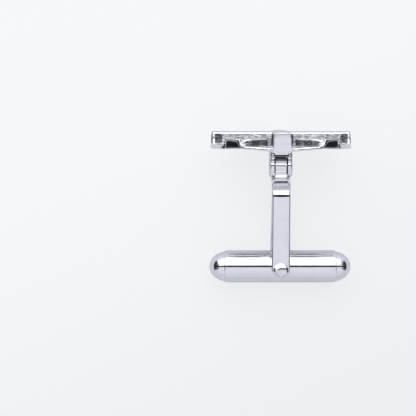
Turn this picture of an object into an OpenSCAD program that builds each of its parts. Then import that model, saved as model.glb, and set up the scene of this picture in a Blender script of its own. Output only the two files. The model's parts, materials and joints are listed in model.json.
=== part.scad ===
// Oval flag cufflink: a hollow-backed cast face, a folding U-shaped arm and a turning torpedo bar.
// It lies on its side. X runs along the bar, Y points from the bar to the face, and Z points up.
// The face stands on its rim and the arm leans down until its lower rivet head touches the table.
// The origin is at the middle of the whole cufflink, on the table.

/* [Face] */
// Length of the oval face
face_len = 19; // [17:0.5:23]
// Width of the oval face
face_wid = 12; // [11:0.5:15]
// Height of the upright cross above the back, at its edges
cross_h = 2.2; // [1.9:0.1:2.8]
// Rise of the crowned top of the cross above its edges
crown_h = 0.12; // [0.06:0.02:0.2]
// Width of the cross at its top
cross_w = 2.2; // [1.8:0.1:2.6]
// Width that the slope of its sides adds at each side of the foot of the cross
cross_flare = 0.22; // [0.1:0.02:0.4]
// Height of the diagonal cross above the back
saltire_h = 1.4; // [1.3:0.05:1.8]
// Width of the diagonal cross at its top
saltire_w = 2.7; // [2.4:0.1:3.2]
// Width that the slope of its sides adds at each side of the foot of the diagonal cross
saltire_flare = 0.3; // [0.1:0.05:0.5]
// Angle between the diagonal cross and the length of the face
saltire_angle = 33; // [31:1:36]
// Thickness of the floor of the sunk pits
floor_t = 0.45; // [0.4:0.05:0.9]
// Width of the sunk groove beside the short arm of the cross
groove_short = 0.6; // [0.4:0.1:1]
// Width of the sunk groove beside the long arm of the cross
groove_long = 0.25; // [0.15:0.05:0.5]
// How much smaller the top of the face is than its back, all round
rim_slope = 0.12; // [0.04:0.02:0.2]

/* [Hollow back] */
// Distance from the middle of a diagonal arm to the steep side of the hollow under it, towards the tip
hollow_steep = 1.2; // [0.9:0.05:1.25]
// Distance from there to the foot of the hollow's sloping side, towards the short arm of the cross
hollow_foot = 1.5; // [1.1:0.05:1.6]
// Width of that sloping side
hollow_slope = 1.4; // [0.8:0.1:1.6]
// Height of the hollow above the back
hollow_h = 1.08; // [0.8:0.02:1.12]
// Radius of the corner over the steep side
hollow_corner = 0.35; // [0.2:0.05:0.6]
// Wall between each hollow and the sunk grooves beside the cross
hollow_wall = 0.25; // [0.15:0.05:0.5]

/* [Hinge] */
// Distance from the back of the face to the axis of the hinge
hinge_drop = 2.35; // [2.1:0.05:3]
// Angle that the face leans back as it stands on its rim
face_lean = 3; // [0:1:8]
// Radius of the round ends of the two ears
ear_r = 1.6; // [1.4:0.05:1.7]
// Thickness of each ear
ear_t = 0.62; // [0.5:0.02:1]
// Depth of the solid root of the clevis, from the back of the face to the slot between its ears
clevis_root = 0.85; // [0.5:0.05:0.95]
// Depth of the shallow socket in the back of the face, in which the clevis is soldered
socket_depth = 0.2; // [0.1:0.05:0.3]
// Radius of the barrel of the knuckle
knuckle_r = 1.22; // [1:0.02:1.35]
// Width of the knuckle, along the axis
knuckle_w = 1.52; // [1.2:0.02:1.8]
// Gap between the knuckle and each ear
side_gap = 0.14; // [0.04:0.02:0.2]
// Radius of the hinge pin
pin_r = 0.45; // [0.35:0.05:0.6]
// Height of the peened end of the pin, proud of each ear
pin_proud = 0.08; // [0.04:0.02:0.14]
// Depth of the knuckle's stem, front to back
stem_d = 1.7; // [1.2:0.1:2]
// Width of the soldered foot of the knuckle, along the axis
foot_w = 2; // [1.8:0.1:2.3]
// Thickness of that foot
foot_t = 0.35; // [0.2:0.05:0.4]

/* [Arm] */
// Distance from the hinge axis to the pivot of the bar
arm_len = 13.9; // [12:0.1:17]
// Distance from the hinge axis to the top of the arch
arch_drop = 2.32; // [2.2:0.02:2.8]
// Width of the strip that the arm is bent from
strip_w = 2.5; // [2.3:0.1:3]
// Thickness of that strip
strip_t = 0.6; // [0.5:0.05:0.8]
// Outer radius of the two bends of the arch
bend_r = 1.6; // [1.2:0.05:1.9]

/* [Bar] */
// Length of the torpedo bar over its caps
bar_len = 19.14; // [17:0.1:21]
// Radius of the bar
bar_r = 2.18; // [1.9:0.02:2.6]
// Wall of the tube
tube_wall = 0.45; // [0.4:0.01:0.55]
// Radius of the rounded shoulder at each end of the tube
shoulder_r = 0.3; // [0.2:0.02:0.34]
// Wall of the hollow caps
cap_wall = 0.35; // [0.25:0.05:0.5]
// Length of the straight skirt of each cap, before its dome
cap_skirt = 0.1; // [0.05:0.05:0.4]
// Length of the spigot that each cap pushes into the tube
spigot_len = 0.8; // [0.5:0.1:1.2]
// Wall of that spigot
spigot_wall = 0.25; // [0.2:0.05:0.4]
// Gap between the bar and each leg of the arm
leg_gap = 0.07; // [0.04:0.01:0.12]

/* [Rivet and springs] */
// Radius of the pivot rivet
rivet_r = 0.6; // [0.5:0.02:0.7]
// Width across the flats of its squared middle
rivet_flats = 0.9; // [0.8:0.02:0.94]
// Radius of its peened heads
rivet_head_r = 1.04; // [0.9:0.02:1.15]
// Height of each head
rivet_head_h = 0.4; // [0.25:0.05:0.5]
// Length of each round journal inside the tube, before the squared middle
journal_in = 0.2; // [0.1:0.05:0.3]
// Thickness of each leaf spring
leaf_t = 0.2; // [0.14:0.02:0.26]
// How far the ends of a leaf stand out past its middle
leaf_bow = 0.4; // [0.3:0.05:0.45]

/* [Fits] */
// Radial clearance of a pin or rivet that turns in its hole
running_fit = 0.03; // [0.02:0.01:0.06]
// Radial clearance of a pin, rivet or spigot that is fixed in its hole
fixed_fit = 0.01; // [0.01:0.01:0.02]
// Gap that the solder fills round the root of the clevis, in its socket
solder_gap = 0.1; // [0.06:0.01:0.14]

/* [Hidden] */
$fn = 96;

// How far a cut runs on past the surface that it opens
overrun = 1;

face_t = cross_h + crown_h;
oval_share = face_wid / face_len;
crown_r = (pow(cross_w / 2, 2) + pow(crown_h, 2)) / (2 * crown_h);

// Half widths of the cross with its sunk grooves, across its short arm and across its long arm
short_half = cross_w / 2 + cross_flare + groove_short;
long_half = cross_w / 2 + cross_flare + groove_long;

clevis_w = knuckle_w + 2 * side_gap + 2 * ear_t;
slot_w = knuckle_w + 2 * side_gap;

tube_in_r = bar_r - tube_wall;
leg_in = bar_r + leg_gap;
leg_out = leg_in + strip_t;
cap_r = bar_r - shoulder_r;
tube_len = bar_len - 2 * (cap_r + cap_skirt);
spigot_r = tube_in_r - fixed_fit;
squared_half = tube_in_r - journal_in;

// Radius of the ball that each rivet head is a cap of, and the distance of its centre from the bar's axis
dome_r = (pow(rivet_head_r, 2) + pow(rivet_head_h, 2)) / (2 * rivet_head_h);
dome_centre = leg_out + rivet_head_h - dome_r;

// Height of the hinge axis: the lower edge of the face's back is on the table
hinge_z = face_wid / 2 * cos(face_lean) - hinge_drop * sin(face_lean);
// Lean of the arm: the lower rivet head is on the table too
arm_lean = asin((hinge_z - dome_r) / norm([arm_len, dome_centre])) - atan(dome_centre / arm_len);
// Reach of the face above the hinge axis and of the bar below it, which the origin lies midway between
reach_up = (hinge_drop + face_t) * cos(face_lean) + (face_wid / 2 - rim_slope) * sin(face_lean);
reach_down = arm_len * cos(arm_lean) + bar_r;
hinge_y = (reach_down - reach_up) / 2;

// The leaf spring bows along an arc whose middle lies against a flat of the rivet
leaf_half = tube_len / 2 - spigot_len - running_fit;
leaf_arc_r = (pow(leaf_half, 2) + pow(leaf_bow, 2)) / (2 * leaf_bow);
leaf_in = rivet_flats / 2 + fixed_fit;
leaf_half_h = sqrt(pow(tube_in_r, 2) - pow(leaf_in + leaf_bow + leaf_t, 2)) - running_fit;

// Frame of the face's body: the hinge axis is its X axis, and +Y points to the face
module face_frame() {
    translate([0, hinge_y, hinge_z])
        rotate([face_lean, 0, 0])
            children();
}

// The same frame, moved to the back of the face, with +Z pointing out of the face
module on_back() {
    face_frame()
        translate([0, hinge_drop, 0])
            rotate([-90, 0, 0])
                children();
}

// Frame of the arm: the hinge axis is its X axis, and the arm runs along -Y
module arm_frame() {
    translate([0, hinge_y, hinge_z])
        rotate([arm_lean, 0, 0])
            children();
}

// Frame of the bar: X is the bar's axis and Z is the rivet's
module bar_frame() {
    arm_frame()
        translate([0, -arm_len, 0])
            children();
}

// A round bar along X, centred
module rod(r, w) {
    rotate([0, 90, 0])
        cylinder(r = r, h = w, center = true);
}

// A flat shape whose end at x = 0 has two rounded corners, and which runs to x = length
module rounded_end(half_w, corner_r, length) {
    translate([corner_r, -half_w])
        square([length - corner_r, 2 * half_w]);
    translate([0, -(half_w - corner_r)])
        square([corner_r, 2 * (half_w - corner_r)]);
    for (side = [-1, 1])
        translate([corner_r, side * (half_w - corner_r)])
            circle(r = corner_r);
}

// The solid inside the face's sloping rim, from below the back up to a height
module oval(height) {
    slope = rim_slope / face_t;
    scale([1, oval_share, 1])
        translate([0, 0, -overrun])
            cylinder(h = height + overrun, r1 = face_len / 2 + slope * overrun, r2 = face_len / 2 - slope * height);
}

// One arm of the upright cross, from rim to rim along Y: sloping sides and a crowned top
module cross_arm(length) {
    top_half = cross_w / 2 - cross_flare * crown_h / cross_h;
    foot_half = cross_w / 2 + cross_flare;
    rotate([90, 0, 0])
        linear_extrude(height = length, center = true)
            intersection() {
                polygon([[-foot_half, 0], [foot_half, 0], [top_half, face_t], [-top_half, face_t]]);
                translate([0, face_t - crown_r])
                    circle(r = crown_r);
            }
}

// One bar of the diagonal cross, from rim to rim along Y
module saltire_arm(length) {
    foot_half = saltire_w / 2 + saltire_flare;
    rotate([90, 0, 0])
        linear_extrude(height = length, center = true)
            polygon([[-foot_half, 0], [foot_half, 0], [saltire_w / 2, saltire_h], [-saltire_w / 2, saltire_h]]);
}

// The upright cross as two crossed slabs from z = low up, widened on each side by a margin
module cross_slabs(low, margin) {
    x_half = short_half + margin;
    y_half = long_half + margin;
    translate([-x_half, -face_wid, low])
        cube([2 * x_half, 2 * face_wid, face_t + overrun]);
    translate([-face_len, -y_half, low])
        cube([2 * face_len, 2 * y_half, face_t + overrun]);
}

// The four raised diagonal arms, kept clear of the upright cross by the sunk grooves
module saltire_relief() {
    difference() {
        for (turn = [90 - saltire_angle, saltire_angle - 90])
            rotate([0, 0, turn])
                saltire_arm(2 * face_len);
        cross_slabs(floor_t, 0);
    }
}

// Section of a hollow, with X across the diagonal arm and Y up from the back: the side towards the tip of
// the face is steep with a round corner, and the other falls in a wave to the back
module hollow_section() {
    steps = 12;
    crest = hollow_foot - hollow_slope;
    wave = [for (step = [0:steps])
        [crest + hollow_slope * step / steps, hollow_h * (1 + cos(180 * step / steps)) / 2]];
    polygon(concat([[hollow_foot, -overrun], [-hollow_steep, -overrun],
                    [-hollow_steep, hollow_h - hollow_corner], [hollow_corner - hollow_steep, hollow_h]], wave));
    translate([hollow_corner - hollow_steep, hollow_h - hollow_corner])
        circle(r = hollow_corner);
}

// The hollows under the diagonal arms, open at the rim and at the back
module hollows() {
    difference() {
        for (x_side = [0, 1], y_side = [0, 1])
            mirror([x_side, 0, 0])
                mirror([0, y_side, 0])
                    rotate([0, 0, saltire_angle])
                        rotate([90, 0, 90])
                            linear_extrude(height = face_len / 2)
                                hollow_section();
        cross_slabs(-overrun, hollow_wall);
    }
}

// The shallow socket in the back, in which the clevis is soldered
module clevis_socket() {
    half_w = clevis_w / 2 + solder_gap;
    half_h = ear_r + solder_gap;
    translate([-half_w, -half_h, -overrun])
        cube([2 * half_w, 2 * half_h, overrun + socket_depth]);
}

module face_casting() {
    color("silver")
        on_back()
            difference() {
                union() {
                    oval(floor_t);
                    intersection() {
                        oval(face_t);
                        union() {
                            cross_arm(2 * face_wid);
                            rotate([0, 0, 90])
                                cross_arm(2 * face_len);
                            saltire_relief();
                        }
                    }
                }
                hollows();
                clevis_socket();
                translate([-face_len, -face_wid, -2 * overrun])
                    cube([2 * face_len, 2 * face_wid, 2 * overrun]);
            }
}

module hinge_clevis() {
    color("gainsboro")
        face_frame()
            difference() {
                union() {
                    rod(ear_r, clevis_w);
                    translate([-clevis_w / 2, 0, -ear_r])
                        cube([clevis_w, hinge_drop + socket_depth, 2 * ear_r]);
                }
                translate([-slot_w / 2, -ear_r - overrun, -ear_r - overrun])
                    cube([slot_w, ear_r + overrun + hinge_drop - clevis_root, 2 * (ear_r + overrun)]);
                rod(pin_r + fixed_fit, clevis_w + overrun);
            }
}

module hinge_pin() {
    color("darkgray")
        face_frame()
            rod(pin_r, clevis_w + 2 * pin_proud);
}

module arm_knuckle() {
    color("lightgray")
        arm_frame()
            difference() {
                union() {
                    rod(knuckle_r, knuckle_w);
                    translate([-knuckle_w / 2, -arch_drop, -stem_d / 2])
                        cube([knuckle_w, arch_drop, stem_d]);
                    translate([-foot_w / 2, -arch_drop, -(leg_out - bend_r)])
                        cube([foot_w, foot_t, 2 * (leg_out - bend_r)]);
                }
                rod(pin_r + running_fit, knuckle_w + overrun);
            }
}

module u_arm() {
    inner_len = arm_len + strip_w / 2 + overrun - arch_drop - strip_t;
    color("silver")
        arm_frame()
            difference() {
                intersection() {
                    translate([0, -arch_drop, 0])
                        rotate([-90, 0, 0])
                            rotate([0, 90, 0])
                                linear_extrude(height = strip_w, center = true)
                                    difference() {
                                        rounded_end(leg_out, bend_r, arm_len + strip_w);
                                        translate([strip_t, 0])
                                            rounded_end(leg_in, bend_r - strip_t, inner_len);
                                    }
                    linear_extrude(height = 2 * (leg_out + overrun), center = true) {
                        translate([-strip_w / 2, -arm_len])
                            square([strip_w, arm_len]);
                        translate([0, -arm_len])
                            circle(r = strip_w / 2);
                    }
                }
                translate([0, -arm_len, 0])
                    cylinder(r = rivet_r + fixed_fit, h = 2 * (leg_out + overrun), center = true);
            }
}

// One peened head, seated on the outside of a leg
module rivet_head() {
    intersection() {
        translate([0, 0, dome_centre])
            sphere(r = dome_r);
        translate([0, 0, leg_out])
            cylinder(r = rivet_head_r, h = rivet_head_h);
    }
}

module pivot_rivet() {
    journal = leg_out - squared_half;
    color("darkgray")
        bar_frame() {
            intersection() {
                cylinder(r = rivet_r, h = 2 * squared_half, center = true);
                cube([rivet_flats, rivet_flats, 2 * squared_half], center = true);
            }
            for (turn = [0, 180])
                rotate([turn, 0, 0]) {
                    translate([0, 0, squared_half])
                        cylinder(r = rivet_r, h = journal);
                    rivet_head();
                }
        }
}

module bar_tube() {
    color("gainsboro")
        bar_frame()
            difference() {
                rotate([0, 90, 0]) {
                    cylinder(r = bar_r, h = tube_len - 2 * shoulder_r, center = true);
                    cylinder(r = cap_r, h = tube_len, center = true);
                    for (end = [-1, 1])
                        translate([0, 0, end * (tube_len / 2 - shoulder_r)])
                            rotate_extrude()
                                translate([cap_r, 0])
                                    intersection() {
                                        circle(r = shoulder_r);
                                        translate([0, -shoulder_r])
                                            square([shoulder_r, 2 * shoulder_r]);
                                    }
                }
                rod(tube_in_r, tube_len + overrun);
                cylinder(r = rivet_r + running_fit, h = 2 * (bar_r + overrun), center = true);
            }
}

// A half ball, standing on the skirt of a cap
module dome(r) {
    translate([0, 0, cap_skirt])
        intersection() {
            sphere(r = r);
            cylinder(r = r, h = r);
        }
}

// One hollow domed cap on the +X end, with the spigot that holds it in the tube
module end_cap() {
    spigot_in_r = spigot_r - spigot_wall;
    bar_frame()
        translate([tube_len / 2, 0, 0])
            rotate([0, 90, 0])
                difference() {
                    union() {
                        cylinder(r = cap_r, h = cap_skirt);
                        dome(cap_r);
                        translate([0, 0, -spigot_len])
                            cylinder(r = spigot_r, h = spigot_len);
                    }
                    translate([0, 0, -spigot_len - overrun])
                        cylinder(r = spigot_in_r, h = spigot_len + overrun + cap_skirt);
                    dome(cap_r - cap_wall);
                }
}

module end_cap_left() {
    color("lightgray")
        mirror([1, 0, 0])
            end_cap();
}

module end_cap_right() {
    color("lightgray")
        end_cap();
}

// One bowed strip inside the tube, on the arm's side of the rivet or on the far side
module leaf_spring(side) {
    color("slategray")
        bar_frame()
            linear_extrude(height = 2 * leaf_half_h, center = true)
                intersection() {
                    translate([0, side * (leaf_in + leaf_arc_r)])
                        difference() {
                            circle(r = leaf_arc_r);
                            circle(r = leaf_arc_r - leaf_t);
                        }
                    translate([-leaf_half, side > 0 ? 0 : -tube_in_r])
                        square([2 * leaf_half, tube_in_r]);
                }
}

module leaf_spring_upper() {
    leaf_spring(1);
}

module leaf_spring_lower() {
    leaf_spring(-1);
}

face_casting();
hinge_clevis();
hinge_pin();
arm_knuckle();
u_arm();
pivot_rivet();
bar_tube();
end_cap_left();
end_cap_right();
leaf_spring_upper();
leaf_spring_lower();
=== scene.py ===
# %% [markdown]
# # An oval flag cufflink in silver
# The cufflink lies on its side on a pale table: its face stands on its rim, and its arm leans down to the
# bar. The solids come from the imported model, which also says where the hinge and the rivet are. Each visible
# piece is then made again with the soft edges, solder and hand finish that plain solids lack.

import json
import math

import bpy
from mathutils import Matrix, Vector


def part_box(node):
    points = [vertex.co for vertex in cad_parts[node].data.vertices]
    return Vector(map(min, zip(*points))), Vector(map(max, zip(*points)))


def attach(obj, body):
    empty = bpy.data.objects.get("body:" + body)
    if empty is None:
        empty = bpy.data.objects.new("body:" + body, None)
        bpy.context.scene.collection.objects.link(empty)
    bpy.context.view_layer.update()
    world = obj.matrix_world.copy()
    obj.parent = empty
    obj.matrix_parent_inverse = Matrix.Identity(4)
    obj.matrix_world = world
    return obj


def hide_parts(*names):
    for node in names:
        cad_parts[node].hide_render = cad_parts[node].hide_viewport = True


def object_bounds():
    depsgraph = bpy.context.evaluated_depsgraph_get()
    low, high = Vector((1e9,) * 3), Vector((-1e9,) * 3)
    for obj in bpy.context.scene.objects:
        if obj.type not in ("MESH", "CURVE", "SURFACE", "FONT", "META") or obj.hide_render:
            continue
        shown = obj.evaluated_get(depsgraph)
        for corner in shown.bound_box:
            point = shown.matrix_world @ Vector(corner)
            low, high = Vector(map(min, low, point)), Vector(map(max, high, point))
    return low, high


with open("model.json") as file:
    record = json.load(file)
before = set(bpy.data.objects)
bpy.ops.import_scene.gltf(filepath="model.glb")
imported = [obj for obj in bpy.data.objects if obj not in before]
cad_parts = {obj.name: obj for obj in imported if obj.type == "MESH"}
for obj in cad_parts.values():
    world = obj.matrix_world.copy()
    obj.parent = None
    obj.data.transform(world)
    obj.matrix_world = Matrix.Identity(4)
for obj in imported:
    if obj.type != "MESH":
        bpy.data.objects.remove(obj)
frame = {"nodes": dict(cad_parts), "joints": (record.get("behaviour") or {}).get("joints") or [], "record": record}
cad_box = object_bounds()
print("solids:", sorted(frame["nodes"]))

# %% [markdown]
# ## Where each piece lives
# A cufflink is 20 mm long, and Blender's tools are happiest with sizes near one. So each piece is modelled
# in millimetres, in the frame of its own body, and shrunk into place at the end. The frames could be typed
# in, but read from the record they can't drift from the solids: the hinge gives the face and the arm, the
# rivet gives the bar, and the mount and the joints give their leans.

# %% Frames of the three bodies
MM = 0.001
joints = {joint["name"]: joint for joint in frame["joints"]}
mounts = {mount["name"]: mount for mount in frame["record"]["mounts"]}
hinge_at = Vector(joints["arm_fold"]["pos_m"])
pivot_at = Vector(joints["bar_turn"]["pos_m"])
rivet_axis = Vector(joints["bar_turn"]["axis"])
cuff_side = Vector(mounts["cuff_face"]["axis"])
arm_lean = math.atan2(-rivet_axis.y, rivet_axis.z)
face_lean = math.atan2(-cuff_side.z, -cuff_side.y)
back_drop = (Vector(mounts["cuff_face"]["pos_m"]) - hinge_at).dot(-cuff_side) / MM


def body_frame(at, lean):
    return Matrix.Translation(at) @ Matrix.Rotation(lean, 4, "X") @ Matrix.Scale(MM, 4)


FACE = body_frame(hinge_at, face_lean)
ARM = body_frame(hinge_at, arm_lean)
BAR = body_frame(pivot_at, arm_lean)
print("arm lean", round(math.degrees(arm_lean), 2), "face lean", round(math.degrees(face_lean), 2))

# %% [markdown]
# ## Working as by hand
# An operator acts on whatever is selected, as a hand works on whatever lies on the bench. So one helper
# clears the bench, one picks a single object, one opens its mesh with everything selected, and one writes
# an object's place into its mesh.

# %% Helpers for picking
QUARTER = math.pi / 2


def clear_bench():
    if bpy.context.object and bpy.context.object.mode != "OBJECT":
        bpy.ops.object.mode_set(mode="OBJECT")
    bpy.ops.object.select_all(action="DESELECT")


def pick(obj):
    clear_bench()
    obj.select_set(True)
    bpy.context.view_layer.objects.active = obj


def open_mesh(obj):
    pick(obj)
    bpy.ops.object.mode_set(mode="EDIT")
    bpy.ops.mesh.select_all(action="SELECT")


def settle():
    bpy.ops.object.transform_apply(location=True, rotation=True, scale=True)


# %% [markdown]
# ## Soft edges
# No edge of a worn metal piece is sharp. A Bevel modifier would round them all alike, but a file eases an
# outer edge while solder fills an inner one. So edges are picked by a rule that knows where they are and how
# far the metal turns there, and each kind is bevelled by its own width.

# %% Helpers for rounding edges
SHARP = 0.6


def pick_edges(obj, rule):
    """Selects the edges for which rule(start, end, turn) holds; the turn is below zero in a hollow."""
    pick(obj)
    bpy.ops.object.mode_set(mode="EDIT")
    bpy.ops.mesh.select_mode(type="EDGE")
    bpy.ops.mesh.select_all(action="DESELECT")
    bpy.ops.object.mode_set(mode="OBJECT")
    mesh = obj.data
    sides = {}
    for polygon in mesh.polygons:
        for key in polygon.edge_keys:
            sides.setdefault(key, []).append(polygon)
    count = 0
    for edge in mesh.edges:
        pair = sides.get(tuple(sorted(edge.vertices)), [])
        if len(pair) != 2:
            continue
        turn = pair[0].normal.angle(pair[1].normal, 0)
        if (pair[1].center - pair[0].center).dot(pair[0].normal) > 0:
            turn = -turn
        start, end = [mesh.vertices[index].co for index in edge.vertices]
        if rule(start, end, turn):
            edge.select = True
            count += 1
    bpy.ops.object.mode_set(mode="EDIT")
    return count


def round_edges(obj, rule, width, segments=3, clamp=True, profile=0.5):
    count = pick_edges(obj, rule)
    if count:
        bpy.ops.mesh.bevel(offset=width, segments=segments, affect="EDGES", clamp_overlap=clamp,
                           profile=profile)
    bpy.ops.object.mode_set(mode="OBJECT")
    print(obj.name, "rounded", count, "edges by", width, "mm")


# %% [markdown]
# ## From a solid to one skin
# The solids have every size right, so a filed or cast piece starts as a copy of its solid. It is then melted
# into one skin of even quads by a voxel remesh and softened, and a rule can press that skin like warm wax.
# Sculpting with a brush would do too, but it would come out a little different each time.

# %% Helpers for copying, casting and pressing
SAME_POINT = 1e-4
FLAT_WITHIN = math.radians(0.6)
SOFTENING = 0.5


def solid_copy(node, name, place):
    """A copy of a node's mesh in its body's frame, in millimetres, with its triangles merged into faces."""
    source = frame["nodes"][node]
    obj = bpy.data.objects.new(name, source.data.copy())
    bpy.context.scene.collection.objects.link(obj)
    obj.data.transform(place.inverted())
    obj.data.materials.clear()
    open_mesh(obj)
    bpy.ops.mesh.remove_doubles(threshold=SAME_POINT)
    bpy.ops.mesh.dissolve_limited(angle_limit=FLAT_WITHIN)
    bpy.ops.object.mode_set(mode="OBJECT")
    return obj


def fuse(obj, voxel, rounds):
    remesh = obj.modifiers.new("skin", "REMESH")
    remesh.mode = "VOXEL"
    remesh.voxel_size = voxel
    soften = obj.modifiers.new("soften", "SMOOTH")
    soften.factor = SOFTENING
    soften.iterations = rounds
    pick(obj)
    for modifier in list(obj.modifiers):
        bpy.ops.object.modifier_apply(modifier=modifier.name)
    bpy.ops.object.shade_smooth()
    print(obj.name, "has", len(obj.data.polygons), "quads")


def press(obj, move):
    """Moves each point by what the rule gives."""
    for vertex in obj.data.vertices:
        vertex.co += move(vertex.co)


# %% [markdown]
# ## Rules that fade
# A hand never stops short, so the rules below fade in and out over a span. The same kind of rule also writes
# a value on each point of a mesh, such as how much patina sits there, and a material reads it. A painted
# picture would do that too, but a rule follows the mesh when its shape is changed.

# %% Helpers for smooth rules and values on points
def side(value):
    return 1 if value > 0 else -1


def fade(value, low, high):
    """0 at low, 1 at high and smooth between, also where low is the larger."""
    t = min(max((value - low) / (high - low), 0), 1)
    return t * t * (3 - 2 * t)


def point_values(obj, name, rule):
    layer = obj.data.attributes.new(name, "FLOAT", "POINT")
    layer.data.foreach_set("value", [rule(vertex) for vertex in obj.data.vertices])


# %% [markdown]
# ## Seating a finished piece
# The last helper moves a mesh from its body's millimetres to its place on the table, gives it its material,
# hands it to its body so that it rides there, and hides the plain solid that it stands for.

# %% Helper for seating
def seat(obj, place, body, nodes, material):
    obj.data.transform(place)
    obj.data.materials.append(material)
    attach(obj, body)
    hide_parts(*nodes)


# %% [markdown]
# ## The lathe
# Round work, such as the bar and its caps, is turned as on a lathe: a ring of points is extruded from
# station to station along the axis, and scaled to the radius there. Spin would need the outline drawn first,
# and this way each station is a pair of numbers. Stations that come back to the first one leave a hollow
# shell, and the doubled ring and the poles are merged at the end.

# %% Helpers for turned pieces
AXIS_R = 0.001
POLE_MERGE = 0.003
TURNED_CREASE = math.radians(32)


def turn_piece(name, stations, sides=128):
    x, r = stations[0]
    clear_bench()
    bpy.ops.mesh.primitive_circle_add(vertices=sides, radius=r, location=(x, 0, 0), rotation=(0, QUARTER, 0))
    obj = bpy.context.object
    obj.name = obj.data.name = name
    settle()
    open_mesh(obj)
    for next_x, next_r in stations[1:]:
        bpy.ops.mesh.extrude_region_move(TRANSFORM_OT_translate={"value": (next_x - x, 0, 0)})
        bpy.ops.transform.resize(value=(1, next_r / r, next_r / r), center_override=(next_x, 0, 0))
        x, r = next_x, next_r
    bpy.ops.mesh.select_all(action="SELECT")
    bpy.ops.mesh.remove_doubles(threshold=POLE_MERGE)
    bpy.ops.mesh.normals_make_consistent(inside=False)
    bpy.ops.object.mode_set(mode="OBJECT")
    bpy.ops.object.shade_smooth_by_angle(angle=TURNED_CREASE)
    print(name, "turned with", len(obj.data.vertices), "points")
    return obj


def arc(centre_x, radius, start, end, steps):
    """Stations round an arc, in degrees from the axis, counted from +X towards the outside."""
    angles = [math.radians(start + (end - start) * step / steps) for step in range(steps + 1)]
    return [(centre_x + radius * math.cos(a), max(radius * math.sin(a), AXIS_R)) for a in angles]


def both_ends(half):
    """The stations of one end, and then the same ones mirrored at the other end."""
    return half + [(-x, r) for x, r in reversed(half)]


# %% [markdown]
# ## Building with nodes
# A material is a small machine of nodes. Wiring it by hand in code is long-winded, so the helpers below add
# a node, feed it with a number or another node's output, and wrap the few kinds that are used again and
# again: sums, smooth spans, noise and a stretch.

# %% Helpers for nodes
FACTOR, COLOUR_A, COLOUR_B, COLOUR_OUT = 0, 6, 7, 2


def add_node(tree, kind, **settings):
    node = tree.nodes.new("ShaderNode" + kind)
    for key, value in settings.items():
        setattr(node, key, value)
    return node


def feed(tree, value, socket):
    if isinstance(value, bpy.types.NodeSocket):
        tree.links.new(value, socket)
    else:
        socket.default_value = value


def math_node(tree, operation, *values):
    node = add_node(tree, "Math", operation=operation)
    for value, socket in zip(values, node.inputs):
        feed(tree, value, socket)
    return node.outputs[0]


def span(tree, value, low, high, to_low=0.0, to_high=1.0):
    """Maps a value smoothly from low..high to to_low..to_high."""
    node = add_node(tree, "MapRange", interpolation_type="SMOOTHSTEP")
    limits = {"Value": value, "From Min": low, "From Max": high, "To Min": to_low, "To Max": to_high}
    for label, limit in limits.items():
        feed(tree, limit, node.inputs[label])
    return node.outputs["Result"]


def noise(tree, vector, scale, detail=4.0, rough=0.55, distortion=0.0):
    node = add_node(tree, "TexNoise")
    settings = {"Vector": vector, "Scale": scale, "Detail": detail, "Roughness": rough,
                "Distortion": distortion}
    for label, value in settings.items():
        feed(tree, value, node.inputs[label])
    return node.outputs["Fac"]


def stretched(tree, vector, shares):
    """The vector times a share on each axis; a small share draws a pattern out along that axis."""
    node = add_node(tree, "VectorMath", operation="MULTIPLY")
    feed(tree, vector, node.inputs[0])
    feed(tree, shares, node.inputs[1])
    return node.outputs[0]


def mix_colour(tree, factor, first, second):
    node = add_node(tree, "Mix", data_type="RGBA")
    feed(tree, factor, node.inputs[FACTOR])
    for index, colour in ((COLOUR_A, first), (COLOUR_B, second)):
        plain = not isinstance(colour, bpy.types.NodeSocket)
        feed(tree, (*colour, 1) if plain else colour, node.inputs[index])
    return node.outputs[COLOUR_OUT]


def point_share(tree, name):
    return add_node(tree, "Attribute", attribute_name=name).outputs["Fac"]


# %% [markdown]
# ## Shared effects of worked silver
# Real silver is never one flat colour. Polishing leaves fine lines that run one way, casting leaves a grain,
# and a dark patina stays wherever the polishing wheel can't reach. Each effect could be wired into every
# material, but as a node group it is built once, and every finish below uses it with its own strength.

# %% Polishing lines, casting grain and patina as node groups
def node_group(name, inputs, outputs):
    """A group whose inputs are numbers with a default, or vectors where the default is None."""
    group = bpy.data.node_groups.new(name, "ShaderNodeTree")
    for label, default in inputs.items():
        kind = "NodeSocketVector" if default is None else "NodeSocketFloat"
        socket = group.interface.new_socket(name=label, in_out="INPUT", socket_type=kind)
        if default is not None:
            socket.default_value = default
    for label in outputs:
        group.interface.new_socket(name=label, in_out="OUTPUT", socket_type="NodeSocketFloat")
    return group, group.nodes.new("NodeGroupInput").outputs, group.nodes.new("NodeGroupOutput").inputs


LINE_STRETCH, SLOW_LINES, STREAKS = (0.04, 1.0, 1.0), 0.08, (0.35, 0.65)
CELLS_PER_GRAIN, CELL_HEIGHT = 0.6, 0.5
NOISE_MIDDLE, COVER_LIFT, PATINA_EDGE = 0.5, 0.7, (0.12, 0.6)


def polishing_lines():
    inputs = {"Vector": None, "Lines per mm": 20.0, "Wander": 0.4}
    group, given, result = node_group("polishing_lines", inputs, ["Height", "Streak"])
    along = stretched(group, given["Vector"], LINE_STRETCH)
    fine = noise(group, along, given["Lines per mm"], detail=3.0, rough=0.7)
    slow_lines = math_node(group, "MULTIPLY", given["Lines per mm"], SLOW_LINES)
    slow = noise(group, along, slow_lines, detail=2.0)
    feed(group, math_node(group, "MULTIPLY_ADD", slow, given["Wander"], fine), result["Height"])
    feed(group, span(group, fine, *STREAKS), result["Streak"])
    return group


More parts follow.
